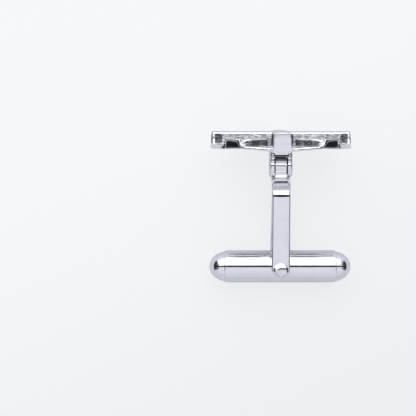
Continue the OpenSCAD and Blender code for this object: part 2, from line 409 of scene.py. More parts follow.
def casting_grain():
    group, given, result = node_group("casting_grain", {"Vector": None, "Grains per mm": 8.0}, ["Height"])
    lumps = noise(group, given["Vector"], given["Grains per mm"], detail=5.0, rough=0.6, distortion=0.4)
    cells = add_node(group, "TexVoronoi", feature="SMOOTH_F1")
    feed(group, given["Vector"], cells.inputs["Vector"])
    feed(group, math_node(group, "MULTIPLY", given["Grains per mm"], CELLS_PER_GRAIN), cells.inputs["Scale"])
    height = math_node(group, "MULTIPLY_ADD", cells.outputs["Distance"], CELL_HEIGHT, lumps)
    feed(group, height, result["Height"])
    return group


def dark_patina():
    inputs = {"Vector": None, "Cover": 0.5, "Patches per mm": 1.2}
    group, given, result = node_group("dark_patina", inputs, ["Mask"])
    patches = noise(group, given["Vector"], given["Patches per mm"], detail=6.0, rough=0.62, distortion=0.6)
    centred = math_node(group, "SUBTRACT", patches, NOISE_MIDDLE)
    lifted = math_node(group, "MULTIPLY_ADD", given["Cover"], COVER_LIFT, centred)
    feed(group, span(group, lifted, *PATINA_EDGE), result["Mask"])
    return group


LINES = polishing_lines()
GRAIN = casting_grain()
PATINA = dark_patina()
print("shared effects:", [group.name for group in (LINES, GRAIN, PATINA)])

# %% [markdown]
# ## One metal under every finish
# Every finish starts from the same metal, a Principled shader that is all metal. Its patterns are measured in
# the body's own millimetres: Object coordinates are taken back through the body's frame by a Mapping node. UV
# maps would need a seam on each piece, and a pattern this fine would show it.

# %% Helpers for a metal material
def metal(name, place, body_turn=0.0):
    material = bpy.data.materials.new(name)
    material.use_nodes = True
    tree = material.node_tree
    shader = tree.nodes["Principled BSDF"]
    shader.inputs["Metallic"].default_value = 1.0
    coords = add_node(tree, "TexCoord")
    mapping = add_node(tree, "Mapping")
    back = place.inverted()
    mapping.inputs["Scale"].default_value = (1 / MM, 1 / MM, 1 / MM)
    mapping.inputs["Rotation"].default_value = back.to_euler()
    mapping.inputs["Location"].default_value = back.translation
    tree.links.new(coords.outputs["Object"], mapping.inputs["Vector"])
    vector = mapping.outputs["Vector"]
    if body_turn:
        turned = add_node(tree, "Mapping")
        turned.inputs["Rotation"].default_value = (0, 0, body_turn)
        tree.links.new(vector, turned.inputs["Vector"])
        vector = turned.outputs["Vector"]
    return material, tree, shader, vector


def use_group(tree, group, vector, **values):
    node = tree.nodes.new("ShaderNodeGroup")
    node.node_tree = group
    tree.links.new(vector, node.inputs["Vector"])
    for label, value in values.items():
        feed(tree, value, node.inputs[label.replace("_", " ")])
    return node.outputs


def bump(tree, shader, height, strength, distance):
    node = add_node(tree, "Bump")
    node.inputs["Strength"].default_value = strength
    node.inputs["Distance"].default_value = distance
    tree.links.new(height, node.inputs["Height"])
    tree.links.new(node.outputs["Normal"], shader.inputs["Normal"])


# %% [markdown]
# ## Polished silver
# The arm, the bar and the hinge were buffed to a mirror, so they show mostly the room. What tells them from
# chrome is little: a faint haze, fine lines along the buff's way, dull solder, and painted shade in the hinge's
# slot and between its parts. The pins are harder and greyer, and the springs are plain steel, so they are the same
# finish with other values.

# %% Polished silver, its darker pins and the spring steel
SILVER = (0.90, 0.90, 0.925)
GREY_SILVER = (0.74, 0.74, 0.765)
# Dark of the face's patina, also used as painted shade on the hinge and in the face's hollows and lines.
PATINA_AND_SHADE_DARK = (0.05, 0.052, 0.058)
HAZE_PER_MM, HAZE_EDGE, HAZE_TINT, HAZE_ROUGH = 0.5, (0.42, 0.7), 0.25, 0.025
STREAK_ROUGH, MATTE_ROUGH = 0.02, 0.3


def polished_silver(name, place, body_turn=0.0, light=SILVER, shade=GREY_SILVER, rough=0.045):
    material, tree, shader, vector = metal(name, place, body_turn)
    lines = use_group(tree, LINES, vector, Lines_per_mm=26.0)
    haze = span(tree, noise(tree, vector, HAZE_PER_MM, detail=3.0), *HAZE_EDGE)
    colour = mix_colour(tree, math_node(tree, "MULTIPLY", haze, HAZE_TINT), light, shade)
    # Painted shade: the silver turns dark where a point carries a value of painted shade.
    colour = mix_colour(tree, point_share(tree, "painted_shade"), colour, PATINA_AND_SHADE_DARK)
    feed(tree, colour, shader.inputs["Base Color"])
    dull = math_node(tree, "MULTIPLY_ADD", point_share(tree, "matte"), MATTE_ROUGH, rough)
    hazy = math_node(tree, "MULTIPLY_ADD", haze, HAZE_ROUGH, dull)
    streaked = math_node(tree, "MULTIPLY_ADD", lines["Streak"], STREAK_ROUGH, hazy)
    feed(tree, streaked, shader.inputs["Roughness"])
    bump(tree, shader, lines["Height"], strength=0.06, distance=0.02 * MM)
    return material


arm_silver = polished_silver("arm_silver", ARM, body_turn=QUARTER)
bar_silver = polished_silver("bar_silver", BAR)
hinge_silver = polished_silver("hinge_silver", FACE, rough=0.07)
pin_silver = polished_silver("pin_silver", ARM, light=(0.84, 0.84, 0.86), shade=(0.62, 0.62, 0.64),
                             rough=0.09)
spring_steel = polished_silver("spring_steel", BAR, light=(0.46, 0.47, 0.5), shade=(0.3, 0.3, 0.32),
                               rough=0.24)
print("finishes:", [material.name for material in (arm_silver, bar_silver, hinge_silver, pin_silver,
                                                   spring_steel)])

# %% [markdown]
# ## Cast silver
# The face is one casting with three looks: a satin cross, bright diagonals, and sunk pits that are grainy
# and dark with patina, with painted shade in the hollows and beside the cross. Three materials would leave
# hard borders between them. So it is one material, which reads the cross from the height above the back, and
# the rest from values on the points: how sunk a point is, how dark its patina and painted shade are, whether
# it is a floor, and whether it is a ridge, from which the patina wears off.

# %% Cast silver of the face
CROSS_TOP = 2.2
SALTIRE_TOP = 1.4
PIT_FLOOR = 0.45
SATIN_SILVER = (0.80, 0.80, 0.82)
BRIGHT_ROUGH, SATIN_ROUGH, SUNK_ROUGH = 0.1, 0.2, 0.26
CROSS_EDGE = (CROSS_TOP - 0.12, CROSS_TOP - 0.04)
SPECK_STRETCH = (0.25, 1.0, 1.0)
BLOTCHES_TO_FLOOR, SPECKS_TO_FLOOR, GRAIN_TO_FLOOR = (0.4, 0.95), (1.0, 0.15), (1.0, 0.4)
WORN_RIDGE, SATIN_LINES = (0.45, 0.1), 0.12


def cast_silver():
    material, tree, shader, vector = metal("cast_silver", FACE)
    split = add_node(tree, "SeparateXYZ")
    feed(tree, vector, split.inputs[0])
    height = math_node(tree, "SUBTRACT", split.outputs["Y"], back_drop)
    on_cross = span(tree, height, *CROSS_EDGE)
    sunk, patina_and_shade, floor, ridge = [point_share(tree, name) for name in ("sunk", "patina_and_shade", "floor", "ridge")]
    blotches = use_group(tree, PATINA, vector, Cover=patina_and_shade, Patches_per_mm=1.3)
    drawn = stretched(tree, vector, SPECK_STRETCH)
    specks = use_group(tree, PATINA, drawn, Cover=patina_and_shade, Patches_per_mm=7.5)
    soft = math_node(tree, "MULTIPLY", blotches["Mask"], span(tree, floor, 0, 1, *BLOTCHES_TO_FLOOR))
    sharp = math_node(tree, "MULTIPLY", specks["Mask"], span(tree, floor, 0, 1, *SPECKS_TO_FLOOR))
    darkness = math_node(tree, "MULTIPLY", sunk, math_node(tree, "MAXIMUM", soft, sharp))
    worn = math_node(tree, "MULTIPLY", darkness, span(tree, ridge, *WORN_RIDGE))
    silver = mix_colour(tree, on_cross, SILVER, SATIN_SILVER)
    # Patina in the pits, and painted shade in the hollows, beside the cross and at the diagonals' inner ends, turn
    # the silver dark here.
    feed(tree, mix_colour(tree, worn, silver, PATINA_AND_SHADE_DARK), shader.inputs["Base Color"])
    rough = math_node(tree, "MULTIPLY_ADD", on_cross, SATIN_ROUGH, BRIGHT_ROUGH)
    feed(tree, math_node(tree, "MULTIPLY_ADD", sunk, SUNK_ROUGH, rough), shader.inputs["Roughness"])
    grain = use_group(tree, GRAIN, vector, Grains_per_mm=7.0)
    lines = use_group(tree, LINES, vector, Lines_per_mm=14.0, Wander=0.8)
    skin = math_node(tree, "MULTIPLY", grain["Height"], sunk)
    skin = math_node(tree, "MULTIPLY", skin, span(tree, floor, 0, 1, *GRAIN_TO_FLOOR))
    skin = math_node(tree, "MULTIPLY_ADD", lines["Height"], SATIN_LINES, skin)
    bump(tree, shader, skin, strength=0.35, distance=0.08 * MM)
    return material


face_silver = cast_silver()
print("finish:", face_silver.name)

# %% [markdown]
# ## The face
# The face was carved in wax and cast, so all its edges are soft and its inner corners are filled. A copy of
# the solid keeps every height and width. Its edges are bevelled one kind at a time: the corners where the
# diagonals end beside the cross, and the inner edges where walls meet floors. Then one skin is cast of it.

# %% Face: bevels and one skin
FACE_HALF_X = 9.5
FACE_HALF_Z = 6.0
CLOSE = 0.05
NEAR_CROSS = 4.0


def level(point):
    """Height above the flat back of the face."""
    return point.y - back_drop


def rim_share(point):
    """0 in the middle of the oval and 1 on its rim."""
    return math.hypot(point.x / FACE_HALF_X, point.z / FACE_HALF_Z)


def diagonal_corner(a, b, turn):
    upright = abs(a.x - b.x) < CLOSE and abs(a.z - b.z) < CLOSE
    low = max(level(a), level(b)) < SALTIRE_TOP + CLOSE
    return turn > SHARP and upright and low and abs(a.x) < NEAR_CROSS


def wall_foot(a, b, turn):
    return turn < -SHARP and min(level(a), level(b)) > PIT_FLOOR - CLOSE


face = solid_copy("face_casting", "face_relief", FACE)
round_edges(face, diagonal_corner, width=0.4, segments=4)
round_edges(face, wall_foot, width=0.3, segments=4)
fuse(face, voxel=0.088, rounds=4)

# %% [markdown]
# ## The face, pressed by hand
# The wax was worked by hand before it was cast: its back is a little fuller beside the short arm, the floors
# rise at the two tips, the ends of the short arm are filed under, and the pits' outer corners are drawn out.
# These are presses of a thumb, so a rule that moves points smoothly makes them better than any edge loop.

# %% Face: presses by hand
BACK_BOW, BOW_REACH, BOW_LEVELS, BOW_FROM = 0.33, 3.0, (1.1, 0.4), (4.7, 5.4)
TIP_RISE, TIP_FROM, TIP_FOOT, TIP_HEAD = 0.18, (6.0, 6.9), (0.2, 0.45), (1.3, 0.8)
END_SLOPE, END_PIVOT, END_STEEP, END_EASE, END_BACK = 0.09, 1.1, 1.25, 0.2, 0.9
END_FROM, END_SIDES = (4.9, 5.5), (2.1, 1.6)
CORNER_AT = Vector((4.95, 0, 5.12))
CORNER_PULL, PULL_INWARD, PULL_NEAR, PULL_LEVELS = 0.4, 0.4, (1.3, 0.1), (PIT_FLOOR - 0.1, PIT_FLOOR + 0.15)
CORNER_DROP, DROP_NEAR, DROP_LEVELS = 0.75, (0.9, 0.0), (PIT_FLOOR + 0.1, SALTIRE_TOP)


def hand_pressed(p):
    h = level(p)
    x, z = abs(p.x), abs(p.z)
    bow = -BACK_BOW * math.exp(-(p.x / BOW_REACH) ** 2) * fade(h, *BOW_LEVELS) * fade(z, *BOW_FROM)
    rise = TIP_RISE * fade(x, *TIP_FROM) * fade(h, *TIP_FOOT) * fade(h, *TIP_HEAD)
    under = (h - END_PIVOT) * (END_STEEP - END_EASE * h) - END_BACK
    out = END_SLOPE * under * (fade(z, *END_FROM) * fade(x, *END_SIDES))
    corner = (Vector((x, 0, z)) - CORNER_AT).length
    pull = CORNER_PULL * fade(corner, *PULL_NEAR) * fade(h, *PULL_LEVELS)
    drop = -CORNER_DROP * fade(corner, *DROP_NEAR) * fade(h, *DROP_LEVELS)
    return Vector((pull * side(p.x), bow + rise + drop, (out - PULL_INWARD * pull) * side(p.z)))


press(face, hand_pressed)

# %% [markdown]
# ## Where the face is bright and where it is dark
# A polishing wheel reaches the tops and the ridges, and leaves the patina in the pits. The hollows under the
# diagonals get patina and painted shade, and thin lines beside the cross get painted shade. Those places are
# told by height, by the way a point faces and by how far it stands out of its neighbours, so rules can write
# them on the points.

# %% Face: ridges
RIDGE_FULL = 0.012


def ridges(obj):
    """How far each point stands out of its neighbours: 1 on a ridge, 0 on a flat, below 0 in a groove."""
    mesh = obj.data
    total = [Vector() for _ in mesh.vertices]
    count = [0] * len(mesh.vertices)
    for edge in mesh.edges:
        a, b = edge.vertices
        total[a] += mesh.vertices[b].co
        total[b] += mesh.vertices[a].co
        count[a] += 1
        count[b] += 1
    return [(vertex.co - total[vertex.index] / max(count[vertex.index], 1)).dot(vertex.normal) / RIDGE_FULL
            for vertex in mesh.vertices]


stand_out = ridges(face)
point_values(face, "ridge", lambda v: min(max(stand_out[v.index], 0), 1))
print("ridge points:", sum(share > 1 for share in stand_out))

# %% [markdown]
# The hollows and the thin lines beside the cross are told by their place. A vertex group painted by hand
# could mark them, but these few measures are easier to check, and they hold on all four quarters.

# %% Face: hollows, and lines of painted shade
SALTIRE_ANGLE = math.radians(33)
ACROSS = Vector((-math.sin(SALTIRE_ANGLE), 0, math.cos(SALTIRE_ANGLE)))
HOLLOW_HALF, HOLLOW_FLARE, FLARE_BELOW = 1.27, 0.3, 0.36
HOLLOW_FOOT, HOLLOW_ROOF, HOLLOW_FROM_X, HOLLOW_FROM_Z, HOLLOW_MOUTH = -0.02, 1.15, 2.2, 1.9, 0.98
NOT_UP, STRAIGHT_BACK = 0.3, -0.9
LINE_FOOT, LINE_HEAD, SIDE_LINE_FACING, CORNER_LINE_FACING = 0.5, 2.0, 0.45, 0.5
SIDE_LINE_X, SIDE_LINE_Z, CORNER_LINE_Z = 1.4, 1.3, 5.0
RIGHT_LINE, LEFT_LINE = (1.2, 1.6), (-1.34, -1.2)
TIP_LINE_AT, TIP_LINE_HALF, TIP_LINE_FOOT, TIP_LINE_HEAD = 9.34, 0.09, 0.7, 1.95


def across_diagonal(p):
    """Distance from the middle line of the diagonal arm in this quarter of the face."""
    return ACROSS.dot(Vector((abs(p.x), 0, abs(p.z))))


def in_hollow(vertex):
    """Whether the point is on a wall of the hollow under a diagonal arm."""
    p, n, h = vertex.co, vertex.normal, level(vertex.co)
    between_walls = -HOLLOW_HALF < across_diagonal(p) < HOLLOW_HALF + HOLLOW_FLARE * (h < FLARE_BELOW)
    in_reach = abs(p.x) > HOLLOW_FROM_X and abs(p.z) > HOLLOW_FROM_Z and rim_share(p) < HOLLOW_MOUTH
    on_back = n.y < STRAIGHT_BACK and h < CLOSE
    return between_walls and in_reach and HOLLOW_FOOT < h < HOLLOW_ROOF and n.y < NOT_UP and not on_back


def painted_dark_line(vertex):
    """Lines of painted shade that frame the cross, down its short arm and in its corners, and a painted dark
    reflection at the two tips.
    """
    p, n, h = vertex.co, vertex.normal, level(vertex.co)
    x, z = abs(p.x), abs(p.z)
    on_wall = LINE_FOOT < h < LINE_HEAD
    beside = abs(n.x) > SIDE_LINE_FACING and x < SIDE_LINE_X and z > SIDE_LINE_Z
    right, left = [low < p.x < high for low, high in (RIGHT_LINE, LEFT_LINE)]
    in_corner = abs(n.z) > CORNER_LINE_FACING and (right or left) and z < CORNER_LINE_Z
    at_tip = abs(x - TIP_LINE_AT) < TIP_LINE_HALF and TIP_LINE_FOOT < h < TIP_LINE_HEAD
    return on_wall and (beside or in_corner) or at_tip


# %% [markdown]
# A point is sunk where the wheel didn't reach, and also in the hollows and on the lines of painted shade. The
# tops, the rim, the flat back and the end panels of the short arm are bright, and the value fades between them and
# the pits, which looks worn and not painted.

# %% Face: how sunk each point is
END_PANEL_Z, END_PANEL_X, BACK_LEVEL, BACK_FACING = 5.0, 1.26, 0.02, -0.5
TOP_FACING = (0.8, 0.97)
SALTIRE_SKIN = (SALTIRE_TOP - 0.1, SALTIRE_TOP - 0.02)
CROSS_SKIN = (CROSS_TOP - 0.14, CROSS_TOP - 0.08)
BRIGHT_RIM = (0.955, 0.98)


def sunk_share(vertex):
    """1 in the pits, on the walls beside them, in the hollows and on the lines of painted shade; 0 on the worn
    tops, the rim and the back.
    """
    p, n, h = vertex.co, vertex.normal, level(vertex.co)
    if in_hollow(vertex):
        return 1.0
    on_end_panel = abs(p.z) > END_PANEL_Z and abs(p.x) < END_PANEL_X
    if on_end_panel or h < BACK_LEVEL and n.y < BACK_FACING:
        return 0.0
    top = max(fade(h, *SALTIRE_SKIN) * fade(n.y, *TOP_FACING), fade(h, *CROSS_SKIN))
    # The lines of painted shade count as sunk.
    return 1.0 if painted_dark_line(vertex) else (1 - top) * (1 - fade(rim_share(p), *BRIGHT_RIM))


point_values(face, "sunk", sunk_share)

# %% [markdown]
# Patina isn't even either. It is thin on the walls, blotchy on the floors and lighter towards the rim. The
# hollows get patina and painted shade, lightened by painted light at their mouths and on their roofs, the
# diagonals' inner ends and the lines beside the cross get painted shade, and the pits at the two tips are made
# darker, so a second value says how dark each point is.

# %% Face: how dark its patina and painted shade are
# Painted shade and painted light in the hollows, at the diagonals' ends and on the lines; the rest is patina,
# lighter towards the rim.
HOLLOW_PATINA_AND_SHADE, ROOF_PAINTED_LIGHT, ROOF_FACING, MOUTH_PAINTED_LIGHT, MOUTH_LEVELS = 0.95, 0.45, (-0.5, -0.9), 0.5, (0.42, 0.12)
WALL_PATINA, FLOOR_PATINA, RIM_LIGHTENING, RIM_LIGHTER_FROM, FLOOR_FACING = 0.54, 0.1, 0.26, (0.5, 0.92), (0.3, 0.8)
END_PAINTED_SHADE, DIAGONAL_END, END_REACH = 0.78, 3.9, (1.7, 0.7)
END_OUTER, END_INNER, END_LEVELS = (1.9, 1.6), (1.2, 1.3), (SALTIRE_TOP, SALTIRE_TOP - 0.3)
TIP_DARK, TIP_X, TIP_HALF_X, TIP_LEVEL, TIP_HALF_H, TIP_EDGE = 0.8, 8.6, 0.68, 1.3, 0.75, (1.3, 0.7)
SQUARENESS, LINE_PAINTED_SHADE = 4, 0.95
FLOOR_UP, FLOOR_UNDER = (0.5, 0.85), (0.8, 0.6)


def patina_and_shade_share(vertex):
    """How dark a point is: patina, little on the walls and more on the floors, with painted shade and light in the
    hollows and painted shade beside the cross.
    """
    p, n, h = vertex.co, vertex.normal, level(vertex.co)
    if in_hollow(vertex):
        # Painted shade in the hollows, with painted light at their roofs and mouths.
        return HOLLOW_PATINA_AND_SHADE - max(ROOF_PAINTED_LIGHT * fade(n.y, *ROOF_FACING), MOUTH_PAINTED_LIGHT * fade(h, *MOUTH_LEVELS))
    floor = fade(n.y, *FLOOR_FACING)
    floor_dark = FLOOR_PATINA - RIM_LIGHTENING * fade(rim_share(p), *RIM_LIGHTER_FROM)
    across = abs(across_diagonal(p))
    at_end = fade(abs(abs(p.x) - DIAGONAL_END), *END_REACH) * fade(across, *END_OUTER)
    at_end *= fade(across, *END_INNER) * fade(h, *END_LEVELS)
    off_tip = (abs((abs(p.x) - TIP_X) / TIP_HALF_X), abs(h - TIP_LEVEL) / TIP_HALF_H)
    squircle = off_tip[0] ** SQUARENESS + off_tip[1] ** SQUARENESS
    at_tip = fade(squircle, *TIP_EDGE) * (1 - floor)
    # Painted shade at the diagonals' inner ends and on the lines beside the cross; darker in the pits at the tips.
    return max(WALL_PATINA + floor_dark * floor, TIP_DARK * at_tip, END_PAINTED_SHADE * at_end,
               LINE_PAINTED_SHADE * painted_dark_line(vertex))


point_values(face, "patina_and_shade", patina_and_shade_share)
point_values(face, "floor", lambda v: fade(v.normal.y, *FLOOR_UP) * fade(level(v.co), *FLOOR_UNDER))
print("points in the hollows:", sum(in_hollow(vertex) for vertex in face.data.vertices))
seat(face, FACE, "face", ["face_casting"], face_silver)

# %% [markdown]
# ## Solder and filed blocks
# The hinge is soldered together and filed by hand. Its solder could be a fillet bevel, but real solder runs
# into a slope with a few beads on it. So small rods, balls and blocks are joined to the copy of the solid,
# half sunk in it, and the remesh melts them into one piece.

# %% Helpers for small stock
ALONG = {"X": (0, QUARTER, 0), "Z": (0, 0, 0)}


def rod(at, radius, length, axis, sides):
    """A rod along an axis; one with four sides stands on its edge, as a slope of solder does."""
    clear_bench()
    bpy.ops.mesh.primitive_cylinder_add(vertices=sides, radius=radius, depth=length, location=at,
                                        rotation=ALONG[axis])
    settle()
    return bpy.context.object


def ball(at, radius):
    clear_bench()
    bpy.ops.mesh.primitive_uv_sphere_add(segments=24, ring_count=16, radius=radius, location=at)
    return bpy.context.object


def block(name, half_width, outline):
    """A prism whose side is an outline of (y, z) points, centred on X."""
    clear_bench()
    bpy.ops.mesh.primitive_circle_add(vertices=len(outline), radius=1, fill_type="NGON")
    prism = bpy.context.object
    prism.name = name
    for vertex, (y, z) in zip(prism.data.vertices, outline):
        vertex.co = (-half_width, y, z)
    open_mesh(prism)
    bpy.ops.mesh.extrude_region_move(TRANSFORM_OT_translate={"value": (2 * half_width, 0, 0)})
    bpy.ops.mesh.select_all(action="SELECT")
    bpy.ops.mesh.normals_make_consistent(inside=False)
    bpy.ops.object.mode_set(mode="OBJECT")
    return prism


def front_and_back(half):
    """An outline of (y, z) points, followed by its mirror image below z = 0."""
    return half + [(y, -z) for y, z in reversed(half)]


def join(target, others):
    pick(target)
    for other in others:
        other.select_set(True)
    bpy.ops.object.join()


# %% [markdown]
# ## The hinge's ears
# Two ears are filed from one thick block and soldered to the back of the face. The copy of the solid gets a
# slope of solder round its foot, four beads in the corners, a web that closes the root of the slot, and a
# boss inside each ear that the knuckle runs against.

# %% Hinge ears with their solder
EAR_R = 1.6
BEADS = [(-1.14, 1.46, 1.44, 0.24), (1.2, 1.42, 1.44, 0.21), (1.12, 1.86, -1.42, 0.22),
         (-1.18, 1.7, -1.4, 0.2)]
WEB = [(1.17, -0.6), (1.12, -1.0), (1.9, -1.1), (1.9, 0.35), (1.3, 0.05)]
SOLDER_SUNK, SIDE_SOLDER, END_SOLDER = 0.02, 0.26, 0.2
BOSS_R, BOSS_DEPTH, BOSS_AT = 1.1, 0.24, 0.92
WEB_HALF, SOLDERED_END = 1.0, 0.1


def ear_edge(a, b, turn):
    return turn > SHARP and max(a.y, b.y) < back_drop - SOLDERED_END


ears = solid_copy("hinge_clevis", "hinge_ears", FACE)
round_edges(ears, ear_edge, width=0.1)
half_w = (FACE.inverted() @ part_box("hinge_clevis")[1]).x
solder_y = back_drop - SOLDER_SUNK
solder = [rod((k * half_w, solder_y, 0), SIDE_SOLDER, 2 * EAR_R, "Z", sides=4) for k in (-1, 1)]
solder += [rod((0, solder_y, k * EAR_R), END_SOLDER, 2 * half_w, "X", sides=4) for k in (-1, 1)]
solder += [ball((x, y, z), r) for x, y, z, r in BEADS]
solder.append(block("web", WEB_HALF, WEB))
solder += [rod((k * BOSS_AT, 0, 0), BOSS_R, BOSS_DEPTH, "X", sides=64) for k in (-1, 1)]
join(ears, solder)
fuse(ears, voxel=0.042, rounds=3)

# %% [markdown]
# ## Filing the ears
# A file has rounded the ears' outer corners and taken their necks down below their round ends. The rules
# below do the same to the skin: one moves its points, and one writes painted shade in the slot and at its
# root, and a ring of painted shade round each bead.

# %% Ears: filing and painted shade
EAR_ROUND, ROUND_REACH, PIN_ROOM, STEEPEST = 0.34, 0.9, 0.6, 0.995
NECK_FROM, NECK_BLEND, NECK_SLOPE = 0.6, 0.14, 0.4
LEAN_SLOPE, LEAN_FROM, LEAN_BLEND = 0.06, 0.9, (0.9, 1.1)
ROOT_FADE, ROUND_FADE = (back_drop, back_drop - 0.5), (back_drop - 0.1, back_drop - 0.5)
FRONT_BLEND, BEAD_CLEAR = (0.9, 1.35), (0.2, 0.4)


def filed_ear(p):
    """The ears' outer corners are rounded, and their necks are filed lower than their round ends."""
    move = Vector()
    radial = Vector((0, p.y, p.z)) if p.y < 0 else Vector((0, 0, p.z))
    t = min(max((abs(p.x) - half_w + EAR_ROUND) / EAR_ROUND, 0), 1)
    if t and radial.length > PIN_ROOM:
        cut = EAR_ROUND * (1 - math.sqrt(1 - min(t, STEEPEST) ** 2))
        near = fade(radial.length, EAR_R - ROUND_REACH, EAR_R) * fade(p.y, *ROUND_FADE)
        move -= radial.normalized() * cut * near
    around = min(max(p.y, 0), NECK_FROM)
    past = min(max(p.y - NECK_FROM, 0), NECK_BLEND)
    neck = EAR_R - math.sqrt(EAR_R ** 2 - around ** 2) + NECK_SLOPE * (past - past ** 2 / (2 * NECK_BLEND))
    neck *= fade(p.y, *ROOT_FADE)
    lean = LEAN_SLOPE * (p.y - LEAN_FROM) * fade(p.y, *LEAN_BLEND) * fade(p.y, *ROOT_FADE)
    beads = min((p - Vector((x, y, z))).length for x, y, z, r in BEADS)
    move.z += (lean - neck) * side(p.z) * fade(abs(p.z), *FRONT_BLEND) * fade(beads, *BEAD_CLEAR)
    return move


press(ears, filed_ear)

# Painted shade: dark in the slot, at its root and round each bead, lighter on the root's upper side and where it
# faces out of the slot.
RING_DARK, RING_WIDTH, RING_FADE = 0.8, (0.1, 0.03), (back_drop - 0.1, back_drop - 0.3)
SLOT_DARK, SLOT_SIDE, SLOT_FACING = 0.8, (half_w - 0.45, half_w - 0.6), (0.75, 0.45)
WEB_SIDE, WEB_FROM, WEB_INSIDE = (0.98, 0.9), (1.1, 1.25), (1.4, 1.2)
STEP_DARK, STEP_LIGHT, STEP_AT, STEP_BRIGHT, STEP_FACING = 0.95, 0.65, (0.3, 0.6), 0.9, (-0.5, -0.9)


def ear_painted_shade(vertex):
    """Painted shade on the walls of the slot and at its root, lighter on its upper side, and in a ring round the
    beads of solder.
    """
    p, n = vertex.co, vertex.normal
    off = min(abs((p - Vector((x, y, 0))).xy.length - r) if z * p.z > 0 else 1 for x, y, z, r in BEADS)
    ring = RING_DARK * fade(off, *RING_WIDTH) * fade(p.y, *RING_FADE)
    slot = SLOT_DARK * (fade(abs(p.x), *SLOT_SIDE) * fade(abs(n.z), *SLOT_FACING))
    root = fade(abs(p.x), *WEB_SIDE) * fade(p.y, *WEB_FROM) * fade(abs(p.z), *WEB_INSIDE)
    step = (STEP_DARK - STEP_LIGHT * fade(p.z, *STEP_AT)) * (1 - STEP_BRIGHT * fade(n.y, *STEP_FACING))
    return max(slot, step * root, ring)


point_values(ears, "painted_shade", ear_painted_shade)
seat(ears, FACE, "face", ["hinge_clevis"], hinge_silver)

# %% [markdown]
# ## The knuckle
# The barrel between the ears stands on a stem, and its foot is soldered flat on the arch of the arm. It is
# made as the ears are: the fillet of solder under the barrel and the foot's rounded block are joined to the
# copy and melted in. Its sides, which run between the ears, get painted shade, and the solder is duller than
# silver.

# %% Knuckle with its soldered foot
FILLET = front_and_back([(-1.1, 0.8), (-1.2, 0.86), (-1.42, 0.94), (-1.72, 1.26), (-1.9, 1.26)])
FOOT = front_and_back([(-1.7, 1.22), (-1.78, 1.25), (-2.24, 1.34), (-2.31, 1.32)])
FILLET_HALF, FOOT_HALF = 0.76, 1.2
FOOT_DROP, FOOT_SIDE, FOOT_FROM, FOOT_FRONT = 0.15, (0.85, 1.15), (-1.7, -2.3), (0.7, 1.1)
BARREL_DARK, BARREL_FACING, BARREL_FROM = 0.85, (0.6, 0.9), (-1.5, -1.2)
SOLDER_DULL, SOLDER_FROM, TOP_DULL_FROM = 0.35, (-1.5, -1.75), (0.45, 0.85)


def eased_foot(p):
    """The foot's front leans over at its two sides."""
    down = FOOT_DROP * fade(abs(p.x), *FOOT_SIDE) * fade(p.y, *FOOT_FROM) * fade(abs(p.z), *FOOT_FRONT)
    return Vector((0, 0, -down * side(p.z)))


# Painted shade on the barrel's sides, which run between the ears.
def knuckle_painted_shade(vertex):
    return BARREL_DARK * fade(abs(vertex.normal.x), *BARREL_FACING) * fade(vertex.co.y, *BARREL_FROM)


def knuckle_matte(vertex):
    return max(SOLDER_DULL * fade(vertex.co.y, *SOLDER_FROM), fade(vertex.co.y, *TOP_DULL_FROM))


knuckle = solid_copy("arm_knuckle", "arm_knuckle_barrel", ARM)
round_edges(knuckle, lambda a, b, turn: turn > SHARP, width=0.08)
join(knuckle, [block("fillet", FILLET_HALF, FILLET), block("foot", FOOT_HALF, FOOT)])
fuse(knuckle, voxel=0.036, rounds=4)
press(knuckle, eased_foot)
point_values(knuckle, "painted_shade", knuckle_painted_shade)
point_values(knuckle, "matte", knuckle_matte)
seat(knuckle, ARM, "arm", ["arm_knuckle"], arm_silver)

# %% [markdown]
# ## The hinge pin
# The pin is a turned rod whose ends were peened to low buttons, so that it can't slip out. A bevelled
# cylinder would come close, but the lathe gives the button its own curve.

# %% Hinge pin
PIN_R = 0.45
BUTTON = [(0, AXIS_R), (0.005, 0.2), (0.03, 0.36), (0.07, 0.44), (0.12, PIN_R)]
pin_end = (FACE.inverted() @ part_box("hinge_pin")[1]).x
pin = turn_piece("hinge_pin_peened", both_ends([(pin_end - depth, r) for depth, r in BUTTON]), sides=64)
seat(pin, FACE, "face", ["hinge_pin"], pin_silver)

# %% [markdown]
# ## The rivet
# The rivet was struck and then filed. Its turned dome only lays out the points: the file left two planes that
# meet in a soft, slightly wavy ridge, and six steep strokes round the edge. Bisect planes would cut each of
# them dead sharp, so a rule lowers the points to the lowest of the planes and lets them run together.

# %% Pivot rivet
LEG_OUT = 2.85
HEAD_R = 1.04
HEAD_H = 0.4
SHANK_R = 0.6
DOME_R = (HEAD_R ** 2 + HEAD_H ** 2) / (2 * HEAD_H)
RIDGE_AT, RIDGE_SOFT = 0.23, 0.1
RIDGE_H, PLANE_RISE, PLANE_FALL = 0.375, 0.09, 0.42
WAVE_H, WAVES, WAVE_START = 0.02, 7, 0.6
EDGE_SOFT, EDGE_SLOPE, EDGE_SUNK = 0.02, 1.7, -0.03
EDGES = [(-0.486, 0.874, 0.68), (0.664, 0.747, 1.0), (0.974, 0.226, 0.96),
         (0.516, -0.857, 0.89), (-0.679, -0.734, 0.76), (-0.965, -0.263, 0.85)]


def soft_min(values, soft):
    low = min(values)
    return low - soft * math.log(sum(math.exp((low - value) / soft) for value in values))


def filed_head(p):
    if abs(p.z) < LEG_OUT - AXIS_R:
        return Vector()
    past = p.y - RIDGE_AT - WAVE_H * math.sin(WAVES * p.x + WAVE_START)
    planes = soft_min([RIDGE_H + PLANE_RISE * past, RIDGE_H - PLANE_FALL * past], RIDGE_SOFT)
    strokes = [(reach - x * p.x - y * p.y) * EDGE_SLOPE for x, y, reach in EDGES]
    height = LEG_OUT + max(soft_min([planes] + strokes, EDGE_SOFT), EDGE_SUNK)
    return Vector((0, 0, (height - abs(p.z)) * side(p.z)))


